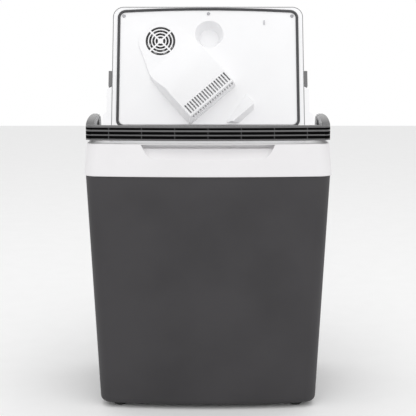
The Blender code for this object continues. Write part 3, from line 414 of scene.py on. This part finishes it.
def build_tub():
    """Outer tub with a rounded foot edge, and the white tub inside it."""
    rings = []
    for i in range(9):
        turn = math.radians(90 * i / 8)
        inset, up = TUB_ROUND_IN * (1 - math.sin(turn)), TUB_ROUND_UP * (1 - math.cos(turn))
        rings.append(level(tub_plan(TUB_FLOOR + up, inset), TUB_FLOOR + up))
    for z in (60, 120, 180, 240, 300, 350, COLLAR_BOTTOM - GAP):
        rings.append(level(tub_plan(z, 0), z))
    rings.append(level(tub_plan(COLLAR_BOTTOM, TUB_RIM), COLLAR_BOTTOM - GAP))
    for z in (350, 200, 60):
        rings.append(level(tub_plan(z, TUB_SKIN), z))
    rings.append(level(tub_plan(TUB_FLOOR + 12, 5), TUB_FLOOR + 12))
    rings.append(level(tub_plan(TUB_FLOOR + TUB_SKIN, 10), TUB_FLOOR + TUB_SKIN))
    dress(loft("tub_skin", rings), BODY, "tub_grey", "box", ["outer_tub"])

    rim = COLLAR_TOP - LEDGE_DROP
    inner = [level(mouth_plan(LINER_FLOOR, LINER_WALL), LINER_FLOOR)]
    inner.append(level(mouth_plan(rim, LINER_WALL), rim))
    inner.append(level(mouth_plan(rim, 0), rim))
    for i in range(7):
        turn = math.radians(90 * i / 6)
        inset, up = LINER_ROUND * (1 - math.cos(turn)), LINER_ROUND * (1 - math.sin(turn))
        inner.append(level(mouth_plan(LINER_FLOOR + up, -inset), LINER_FLOOR + up))
    dress(loft("liner_tub", inner), BODY, "liner_white", "box", ["inner_tub"])


def collar_plan(half_x, inset):
    return rounded_plan(half_x, BODY_FRONT - 2 + inset, BODY_BACK - inset, PLAN_RADIUS, FRONT_BOW,
                        bow_steps=60)


def build_collar():
    """Ring around the mouth, with a finger scoop in the front and a deeper grip under its rim."""
    side = [(COLLAR_BOTTOM, COLLAR_HALF_X - 1.2, 1.2),
            (COLLAR_BOTTOM + 0.3, COLLAR_HALF_X - 0.5, 0.5),
            (COLLAR_BOTTOM + 1.2, COLLAR_HALF_X, 0.0)]
    for i in range(1, 8):
        part = i / 8
        side.append((COLLAR_BOTTOM + 1.2 + 48.0 * part,
                     COLLAR_HALF_X - (COLLAR_HALF_X - COLLAR_TOP_HALF_X) * part, 1.9 * part))
    for i in range(6):
        turn = math.radians(90 * i / 5)
        inset = COLLAR_ROUND * (1 - math.cos(turn))
        side.append((COLLAR_TOP - COLLAR_ROUND * (1 - math.sin(turn)), COLLAR_TOP_HALF_X - inset,
                     2.0 + inset))
    collar = loft("collar_shell", [level(collar_plan(half_x, inset), z) for z, half_x, inset in side])
    ledge = COLLAR_TOP - LEDGE_DROP + GAP
    combine(collar, loft("mouth", [
        level(mouth_plan(COLLAR_BOTTOM, LINER_WALL + GAP), COLLAR_BOTTOM - 1),
        level(mouth_plan(ledge, LINER_WALL + GAP), ledge),
        level(mouth_plan(ledge, 0), ledge),
        level(mouth_plan(COLLAR_TOP, 0), COLLAR_TOP + 1)]))

    top, bottom = COLLAR_TOP - RIM, COLLAR_TOP - SCOOP_HEIGHT
    lip = BODY_FRONT - FRONT_BOW
    rings = []
    steps = 16
    for i in range(steps + 1):
        part = i / steps
        z = bottom + (top - bottom) * part
        rounded = 9.0 * (1 - min(1.0, part * 3.2)) ** 2
        half = SCOOP_HALF_X + SCOOP_FLARE * part - rounded
        back = lip - SCOOP_LIP + SCOOP_DEPTH * min(part / 0.74, 1.0) ** 0.8
        if part > GRIP_FROM:
            back += GRIP_DEPTH
        outline = [(-half, lip - 20), (half, lip - 20)]
        for side_x, start in ((half - SCOOP_CORNER, 0), (SCOOP_CORNER - half, 90)):
            outline += arc((side_x, back - SCOOP_CORNER), SCOOP_CORNER, start, start + 90, 6)
        rings.append(level(outline, z))
    combine(collar, loft("scoop", rings))
    for sign in (-1, 1):
        near, far = sorted((sign * (KNUCKLE_X[0] - 1), sign * (KNUCKLE_X[1] + 1)))
        combine(collar, box("notch", (near, HINGE_Y - 10, COLLAR_TOP - 20),
                            (far, HINGE_Y + 14, COLLAR_TOP + 5)))
        combine(collar, cylinder("pin_hole", (near - 5.3, HINGE_Y, COLLAR_TOP - HINGE_DROP),
                                 PIN_RADIUS + GAP, far - near + 10.6, "X", sides=32))
    chamfer = [(134.2, 440.8), (134.2, 446), (146, 446), (146, 434), (141, 434)]
    combine(collar, side_prism("rear_chamfer", chamfer, -210, 210))
    dress(collar, BODY, "shell_white", "box", ["collar"], 0.5, 2, 40)


# --- handle ------------------------------------------------------------------------------------

BAR_PROFILE = ((9.4, 469.0), (2.0, 469.0), (0.6, 468.4), (0.0, 467.2), (0.0, 465.9), (0.4, 465.4),
               (7.5, 465.0), (7.5, 462.3), (0.4, 461.9), (0.0, 461.4), (0.0, 459.8), (0.4, 459.3),
               (7.5, 458.9), (7.5, 455.2), (0.4, 454.8), (0.0, 454.4), (0.0, 453.2), (0.4, 452.7),
               (7.5, 452.3), (7.5, 448.4), (0.4, 448.0), (0.0, 447.6), (0.0, 446.4), (0.7, 445.4),
               (2.0, 445.0), (9.4, 445.0))
GROOVE_ROWS = ((461.9, 465.4), (454.8, 459.3), (448.0, 452.7))


def bar_bow(x):
    """How far the bar bulges forward."""
    return FRONT_BOW * (1 - (x / ARM_OUTER) ** 2)


def bar_path():
    """Front outline of the bar, from one arm round both corners to the other arm."""
    front, straight, steps = BODY_FRONT, ARM_OUTER - BAR_CORNER, 70
    path = [(-ARM_OUTER, BAR_END_Y)]
    path += arc((-straight, front + BAR_CORNER), BAR_CORNER, 180, 270, 14)
    path += [(2 * i * straight / steps - straight, front) for i in range(1, steps)]
    path += arc((straight, front + BAR_CORNER), BAR_CORNER, 270, 360, 14)
    path.append((ARM_OUTER, BAR_END_Y))
    return [(x, y - bar_bow(x) if y < BAR_END_Y - 1 else y) for x, y in path]


def handle_arm_outlines():
    """Side outlines, in the YZ plane, of an arm and of the hollow in its inner face."""
    low = BAR_BOTTOM
    turns = [math.radians(a) for a in range(0, 91, 6)]
    rise = ARM_TOP - BAR_TOP + 2
    crown = [(CROWN_BACK - CROWN_REACH * math.cos(turn), BAR_TOP - 2 + rise * math.sin(turn))
             for turn in turns]
    rear = arc((PIVOT_Y, PIVOT_Z), HUB_RADIUS + 0.5, 0, 60, 8)[::-1]
    side = [(ARM_FRONT, low), (ARM_FRONT, BAR_TOP - 3)] + crown + [(-12, ARM_TOP - 0.4)] + rear
    side += [(ARM_BACK, PIVOT_Z - 8), (ARM_BACK - 8, low), (-60, low)]
    hollow = [(HOLLOW_FRONT, low + 3), (HOLLOW_FRONT, 467), (-70, 471), (-56, 474.2),
              (CROWN_BACK, 475.6), (-12, 475.8), (-2, 471), (0.5, PIVOT_Z), (-4, low + 4)]
    return side, hollow


def in_shaded_groove(centre):
    """Whether a face centre, in body millimetres, lies in a groove of the bar and off its webs, where the groove's
    painted shade goes.
    """
    x, y, z = centre
    depth = y - BODY_FRONT + bar_bow(x)
    if not any(low - 0.2 < z < high + 0.2 for low, high in GROOVE_ROWS):
        return False
    if abs(x - WEB_PITCH * round(x / WEB_PITCH)) < WEB_HALF + 0.05:
        return False
    at_corner = ARM_OUTER - BAR_CORNER < abs(x) < ARM_OUTER - 0.6
    return 1.0 < depth < 9.0 or (at_corner and 0.6 < depth < 18.5)


def build_handle():
    """Grooved front bar swept from arm to arm, thin webs in its grooves, and two arms with hubs."""
    path = bar_path()
    rings = []
    for i, (x, y) in enumerate(path):
        before = Vector(path[max(i - 1, 0)])
        after = Vector(path[min(i + 1, len(path) - 1)])
        along = (after - before).normalized()
        inward = Vector((-along.y, along.x))
        rings.append([(x + inward.x * inset, y + inward.y * inset, z) for inset, z in BAR_PROFILE])
    bar = loft("carry_handle", rings)
    for k in range(-3, 4):
        x = k * WEB_PITCH
        y = BODY_FRONT - bar_bow(x)
        combine(bar, box("web", (x - WEB_HALF, y + 0.9, BAR_BOTTOM + 2),
                         (x + WEB_HALF, y + 9, BAR_TOP - 2)), "UNION")

    side, hollow = handle_arm_outlines()
    for sign in (-1, 1):
        combine(bar, side_prism("arm", side, sign * ARM_INNER, sign * (ARM_OUTER - 0.02)), "UNION")
        combine(bar, side_prism("arm_hollow", hollow, sign * (ARM_INNER - 1), sign * ARM_WEB_INNER))
        near, far = sorted((sign * (ARM_INNER - 1), sign * (ARM_WEB_INNER - 0.6)))
        combine(bar, box("bracket_room", (near, -36, BAR_BOTTOM - 1), (far, 12, ARM_TOP + 1)))
        boss = min(sign * (ARM_INNER + 5.4), sign * (ARM_OUTER - 0.01))
        combine(bar, cylinder("boss", (boss, PIVOT_Y, PIVOT_Z), BOSS_RADIUS,
                              ARM_OUTER - ARM_INNER - 5.41, "X"), "UNION")
        combine(bar, cylinder("bore", (sign * 190 - 9, PIVOT_Y, PIVOT_Z), BORE_RADIUS, 18, "X",
                              sides=40))
        seat = min(sign * (ARM_OUTER - 1.3), sign * (ARM_OUTER + 1.5))
        combine(bar, cylinder("seat", (seat, PIVOT_Y, PIVOT_Z), SEAT_RADIUS, 2.8, "X", sides=64))
    dress(bar, BODY, "handle_dark", "handle", ["handle"], 0.3, 2, 40)
    # Faces in the bar's grooves take the near-black material: painted shade for the shadow deep in the grooves.
    bar.data.materials.append(GROOVE_SHADE)
    for face in bar.data.polygons:
        if in_shaded_groove((face.center - Vector((0, SHIFT, 0))) / MM):
            face.material_index = 1


# --- lid ---------------------------------------------------------------------------------------

def front_corner():
    """Right front corner of the lid's plan."""
    return arc((LID_HALF_X - LID_CORNER, -LID_FRONT + LID_CORNER), LID_CORNER, 270, 360, 16)


def both_sides(right):
    """Whole outline from its right half."""
    return right + [(-x, y) for x, y in reversed(right)]


def lid_plan():
    """Plan of the lid: straight sides, cheeks beside the hinge, flared rear corners."""
    right = front_corner()
    right += [(LID_HALF_X, -96), (CHEEK_X, -91), (CHEEK_X, -47), (CHEEK_CORNER_X, -41)]
    right += arc((CHEEK_CORNER_X - CHEEK_CORNER, -LID_BACK - CHEEK_CORNER), CHEEK_CORNER, 0, 90, 8)
    return both_sides(right)


def liner_plan(grow):
    inset = LINER_INSET - grow
    return rounded_plan(GASKET_HALF_X - inset, -GASKET_FRONT + GASKET_BOW + inset,
                        -GASKET_REAR - inset, LINER_CORNER, GASKET_BOW)


def build_lid_shell():
    """Hollow cover with hinge knuckles, a front lip and openings, and a thin grey strip at its edge that paints
    the shade line along it.
    """
    plan = lid_plan()
    shoulder = LID_TOP - LID_ROUND_UP
    rings = [level(plan, height(FLANGE)), level(plan, height(shoulder))]
    for i in range(1, 9):
        turn = math.radians(90 * i / 8)
        rings.append(level(offset(plan, -LID_ROUND_IN * (1 - math.cos(turn))),
                           height(shoulder + LID_ROUND_UP * math.sin(turn))))
    shell = loft("lid_outer", rings)
    combine(shell, loft("lid_hollow", [
        level(offset(plan, -LID_WALL), height(FLANGE + 3.5)),
        level(offset(plan, -LID_WALL), height(LID_TOP - 11)),
        level(offset(plan, -6.5), height(LID_TOP - LID_WALL - 0.6))]))
    combine(shell, prism("lid_mouth", liner_plan(GAP), height(FLANGE - 1), height(FLANGE + 4)))
    rear = [(-6, height(2.8)), (6, height(8)), (6, height(-4)), (-6, height(-4))]
    combine(shell, side_prism("lid_rear_chamfer", rear, -210, 210))
    for sign in (-1, 1):
        near = min(sign * KNUCKLE_X[0], sign * KNUCKLE_X[1])
        width = KNUCKLE_X[1] - KNUCKLE_X[0]
        for solid in (box("knuckle_web", (near, -5, 0), (near + width, 5, height(FLANGE + 3))),
                      cylinder("knuckle", (near, 0, 0), KNUCKLE_RADIUS, width, "X", sides=64)):
            combine(shell, solid, "UNION")
        combine(shell, cylinder("knuckle_bore", (near - 2, 0, 0), PIN_RADIUS + GAP, width + 4, "X",
                                sides=32))
    combine(shell, box("front_lip", spot(-LIP_HALF_X, LID_FRONT + 2, FLANGE),
                       spot(LIP_HALF_X, LID_FRONT - 1, 12)), "UNION")

    hard_edges(shell, 0.6, 3, 40)
    bake(shell)
    combine(shell, cylinder("top_vent_opening", spot(*FAN, LID_TOP - 6), VENT_RADIUS, 12))
    for x, half, low, high in ((0.0, OUTLET_HALF_X, OUTLET_LOW, OUTLET_HIGH),) + INLETS:
        combine(shell, box("rear_opening", spot(x - half, 1, low),
                           spot(x + half, LID_BACK - 2, high)))
    combine(shell, box("fascia_opening", spot(FASCIA_X[0], FASCIA_S[0], LID_TOP - 5),
                       spot(FASCIA_X[1], FASCIA_S[1], LID_TOP + 3)))
    dress(shell, LID, "shell_white", "lid", ["lid_shell"])
    shell.data.materials[0] = LOOKS["liner_white"]

    # Thin mid-grey strip round the lid's flange: painted shade along the lid's edge.
    edge = both_sides(front_corner() + [(LID_HALF_X, -8)])
    shade_strip = loft("lid_edge_shade_strip", [level(offset(edge, grow), height(w)) for grow, w in
                                  ((-0.1, FLANGE + 0.8), (-0.1, FLANGE), (-0.4, FLANGE - 0.4),
                                   (-1.3, FLANGE - 0.4), (-1.6, FLANGE + 0.8))], closed=False)
    dress(shade_strip, LID, "seal_rubber", "lid")
    shade_strip.data.materials[0] = EDGE_SHADE


def build_gasket():
    """Soft seal with a rounded crown."""
    def ring(grow):
        return rounded_plan(GASKET_HALF_X + grow, -GASKET_FRONT + GASKET_BOW - grow,
                            -GASKET_REAR + grow, GASKET_CORNER + grow, GASKET_BOW)

    base, crown = FLANGE - GAP, 0.5
    left = [(-GASKET_HALF, base)]
    for turn in map(math.radians, (0, 25, 50, 75)):
        left.append(((0.1 - GASKET_HALF) * math.cos(turn),
                     crown + GASKET_CROWN * (1 - math.sin(turn))))
    profile = left + [(-grow, w) for grow, w in reversed(left)]
    seal = loft("lid_seal", [level(ring(grow), height(w)) for grow, w in profile], closed=False)
    dress(seal, LID, "seal_rubber", "lid", ["lid_gasket"])


def build_liner():
    """Inner panel with the deflector step, the bottle recess and the holes for fan and screws."""
    liner = prism("lid_inner", liner_plan(0), height(FLANGE), height(FLANGE + LINER_THICK))
    combine(liner, loft("deflector", [
        [spot(x, s, FLANGE + 1) for x, s in DEFLECTOR_FOOT],
        [spot(x, s, FLANGE - DEFLECTOR_RISE) for x, s in DEFLECTOR_RIDGE]]), "UNION")
    combine(liner, cylinder("cup", spot(*BOTTLE, FLANGE + 1), CUP_OUTER_MOUTH, CUP_DEPTH + 1,
                            top_radius=CUP_OUTER_BASE), "UNION")
    combine(liner, cylinder("cup_hollow", spot(*BOTTLE, FLANGE - 1), CUP_MOUTH, CUP_DEPTH,
                            top_radius=CUP_BASE))
    combine(liner, cylinder("cold_hole", spot(*FAN, 0), COLD_HOLE_RADIUS, 9))
    for place in SCREWS:
        combine(liner, cylinder("screw_hole", spot(*place, 0), SCREW_HOLE_RADIUS, 9, sides=24))
    dress(liner, LID, "liner_white", "lid", ["lid_liner"], 0.9, 3, 30)


def duct_frame():
    return Matrix.Translation(spot(*FAN, 0)) @ Matrix.Rotation(math.radians(-DUCT_ANGLE), 4, "Z")


def duct_outline(radius, far_side, near_side, end, corner):
    """Outline of the duct in its own frame: round over the fan, straight to a rounded outlet end."""
    outline = arc((0, 0), radius, 105, 255, 48)
    outline += [(20, far_side + 4), (50, far_side), (end - 3, far_side), (end, far_side + 3)]
    outline += arc((end - corner, near_side - corner), corner, 0, 90, 8)
    return outline + [(99, near_side), (48, near_side - 3)]


def duct_solid(name, shrink):
    """Duct block: low and round over the fan, ramping up to the full height of the outlet."""
    low = FLANGE - GAP + (1.0 if shrink else 0)
    side = [(-50, low), (DUCT_FOOT - shrink, low), (DUCT_END - shrink, DUCT_TOP + shrink),
            (82, DUCT_TOP + shrink), (34, GRILLE_TOP + shrink), (-50, GRILLE_TOP + shrink)]
    body = loft(name, [[(t, n, w) for t, w in side] for n in (-75, 75)])
    foot = duct_outline(DUCT_RADIUS + 3 - shrink, DUCT_FAR_SIDE - 3 + shrink,
                        DUCT_NEAR_SIDE + 9 - shrink, DUCT_FOOT + 1 - shrink, 6)
    top = duct_outline(DUCT_RADIUS - shrink, DUCT_FAR_SIDE + shrink, DUCT_NEAR_SIDE - shrink,
                       DUCT_FOOT + 1 - shrink, 6)
    outside = loft(name + "_plan", [level(foot, low + 1.0), level(top, DUCT_TOP - 2)])
    combine(body, outside, "INTERSECT")
    body.data.transform(duct_frame())
    return body


def outlet_slots(name, near, far, low, high):
    """Row of slot-shaped blocks across the duct."""
    bm = bmesh.new()
    size = Matrix.Diagonal((far - near, SLOT_WIDTH, high - low, 1))
    for i in range(SLOTS):
        centre = ((near + far) / 2, SLOT_FIRST + i * SLOT_PITCH, (low + high) / 2)
        bmesh.ops.create_cube(bm, size=1.0, matrix=duct_frame() @ Matrix.Translation(centre) @ size)
    return finish_mesh(name, bm)


def grille_cutter():
    """Ring segments between the grille's spokes."""
    bm = bmesh.new()
    centre = (FAN[0], -FAN[1])
    for inner, outer in GRILLE_RINGS:
        for quarter in range(4):
            middle = 90 * quarter
            inner_half = 45 - math.degrees(SPOKE / 2 / inner)
            outer_half = 45 - math.degrees(SPOKE / 2 / outer)
            outline = arc(centre, outer, middle - outer_half, middle + outer_half, 14)
            outline += arc(centre, inner, middle + inner_half, middle - inner_half, 14)
            low = [bm.verts.new((x, y, height(GRILLE_TOP - 2))) for x, y in outline]
            high = [bm.verts.new((x, y, height(GRILLE_TOP + 2.3))) for x, y in outline]
            for i in range(len(outline)):
                j = (i + 1) % len(outline)
                bm.faces.new((low[i], low[j], high[j], high[i]))
            bm.faces.new(low[::-1])
            bm.faces.new(high)
    return finish_mesh("grille_slots", bm)


def build_duct():
    """Hollow duct cover with the ring grille and two rows of outlet slots."""
    duct = duct_solid("air_duct", 0.0)
    weld = duct.modifiers.new("weld", "WELD")
    weld.merge_threshold = 0.02
    hard_edges(duct, 2.2, 4, 24)
    bake(duct)
    combine(duct, duct_solid("duct_hollow", DUCT_WALL))
    combine(duct, grille_cutter())
    combine(duct, outlet_slots("face_slots", *FACE_SLOTS, DUCT_TOP - 3, DUCT_TOP + 3.5))
    combine(duct, outlet_slots("wall_slots", *WALL_SLOTS, DUCT_TOP + 4, DUCT_TOP + 13))
    dress(duct, LID, "liner_white", "lid", ["duct_cover"])


def build_screws():
    """Countersunk heads with a pressed cross."""
    for i, (x, s) in enumerate(SCREWS):
        screw = cylinder("panel_screw_{}".format(i + 1), spot(x, s, FLANGE - 1.5), 2.4, 1.2,
                         top_radius=3.3, sides=48)
        for size in ((3.6, 0.7), (0.7, 3.6)):
            combine(screw, box("cross", spot(x - size[0] / 2, s + size[1] / 2, FLANGE - 2),
                               spot(x + size[0] / 2, s - size[1] / 2, FLANGE - 0.9)))
        combine(screw, cylinder("shank", spot(x, s, FLANGE - 0.7), 1.4, 8.5, sides=24), "UNION")
        dress(screw, LID, "steel", "lid", ["liner_screw_{}".format(i + 1)], 0.15, 2, 40)


# --- parts carried over from the CAD model ------------------------------------------------------

def dress_cad_nodes():
    """Give every CAD node that is still shown its finished look and softened edges."""
    slots = {row["node"]: row["material_slot"] for row in frame["record"]["subparts"]}
    soft = {"handle_dark": 0.6, "part_dark": 0.3, "foot_rubber": 0.6, "steel": 0.2,
            "shell_white": 0.4, "lens_red": 0.3, "lens_green": 0.3, "board_green": 0.2}
    for name, node in frame["nodes"].items():
        slot = slots.get(name)
        if slot is None:
            continue
        node.data.materials.clear()
        node.data.materials.append(LOOKS[slot])
        if slot in soft and "lead" not in name:
            hard_edges(node, soft[slot] * MM, 2, 40)


# --- studio, in metres and watts ------------------------------------------------------------------

AIR_LIGHT, AIR_SEEN, FLOOR_HALF = 0.86, 1.0, 6.0
LAMPS = (("key_light", (-0.5, -2.6, 1.7), (0, 0, 0.35), 2.0, 9.0),
         ("fill_light", (1.4, -2.0, 1.2), (0, 0, 0.35), 1.8, 4.0),
         ("top_light", (0.0, -0.5, 3.2), (0, -0.1, 0.3), 2.6, 16.0))
LENS, SENSOR, CAMERA_AWAY, CAMERA_UP, CAMERA_TILT = 88.9, 36.0, 1.76, 0.591, 81.1


def build_studio():
    """Pale paper floor, even air that looks white to the camera, and three soft area lights."""
    bm = bmesh.new()
    bmesh.ops.create_grid(bm, x_segments=8, y_segments=8, size=FLOOR_HALF)
    floor = finish_mesh("studio_floor", bm)
    made, tree, shader = nodes_of("studio_paper")
    speckle = tree.nodes.new("ShaderNodeTexNoise")
    speckle.inputs["Scale"].default_value = 220.0
    tone = tree.nodes.new("ShaderNodeMix")
    tone.data_type = "RGBA"
    tone.inputs["A"].default_value = (0.93, 0.93, 0.93, 1.0)
    tone.inputs["B"].default_value = (0.96, 0.96, 0.96, 1.0)
    tree.links.new(speckle.outputs["Fac"], tone.inputs["Factor"])
    tree.links.new(tone.outputs["Result"], shader.inputs["Base Color"])
    shader.inputs["Roughness"].default_value = 0.9
    shader.inputs["Specular IOR Level"].default_value = 0.1
    floor.data.materials.append(made)

    world = bpy.data.worlds.new("studio_air")
    world.use_nodes = True
    back = world.node_tree.nodes["Background"]
    back.inputs["Color"].default_value = (1.0, 1.0, 1.0, 1.0)
    seen = world.node_tree.nodes.new("ShaderNodeLightPath")
    level_of_air = world.node_tree.nodes.new("ShaderNodeMapRange")
    level_of_air.inputs["To Min"].default_value = AIR_LIGHT
    level_of_air.inputs["To Max"].default_value = AIR_SEEN
    world.node_tree.links.new(seen.outputs["Is Camera Ray"], level_of_air.inputs["Value"])
    world.node_tree.links.new(level_of_air.outputs["Result"], back.inputs["Strength"])
    bpy.context.scene.world = world

    for name, place, aim, size, power in LAMPS:
        lamp = bpy.data.lights.new(name, "AREA")
        lamp.size = size
        lamp.energy = power
        made = bpy.data.objects.new(name, lamp)
        made.location = place
        made.rotation_euler = (Vector(aim) - Vector(place)).to_track_quat("-Z", "Y").to_euler()
        bpy.context.scene.collection.objects.link(made)


def build_camera():
    """Camera in front of the box, a little above the collar and looking down."""
    lens = bpy.data.cameras.new("camera")
    lens.lens, lens.sensor_width = LENS, SENSOR
    camera = bpy.data.objects.new("camera", lens)
    camera.location = (0.0, SHIFT - CAMERA_AWAY, CAMERA_UP)
    camera.rotation_euler = (math.radians(CAMERA_TILT), 0.0, 0.0)
    bpy.context.scene.collection.objects.link(camera)
    bpy.context.scene.camera = camera
    bpy.context.scene.view_settings.view_transform = "Standard"


dress_cad_nodes()
build_tub()
build_collar()
build_handle()
build_lid_shell()
build_gasket()
build_liner()
build_duct()
build_screws()
build_studio()
build_camera()
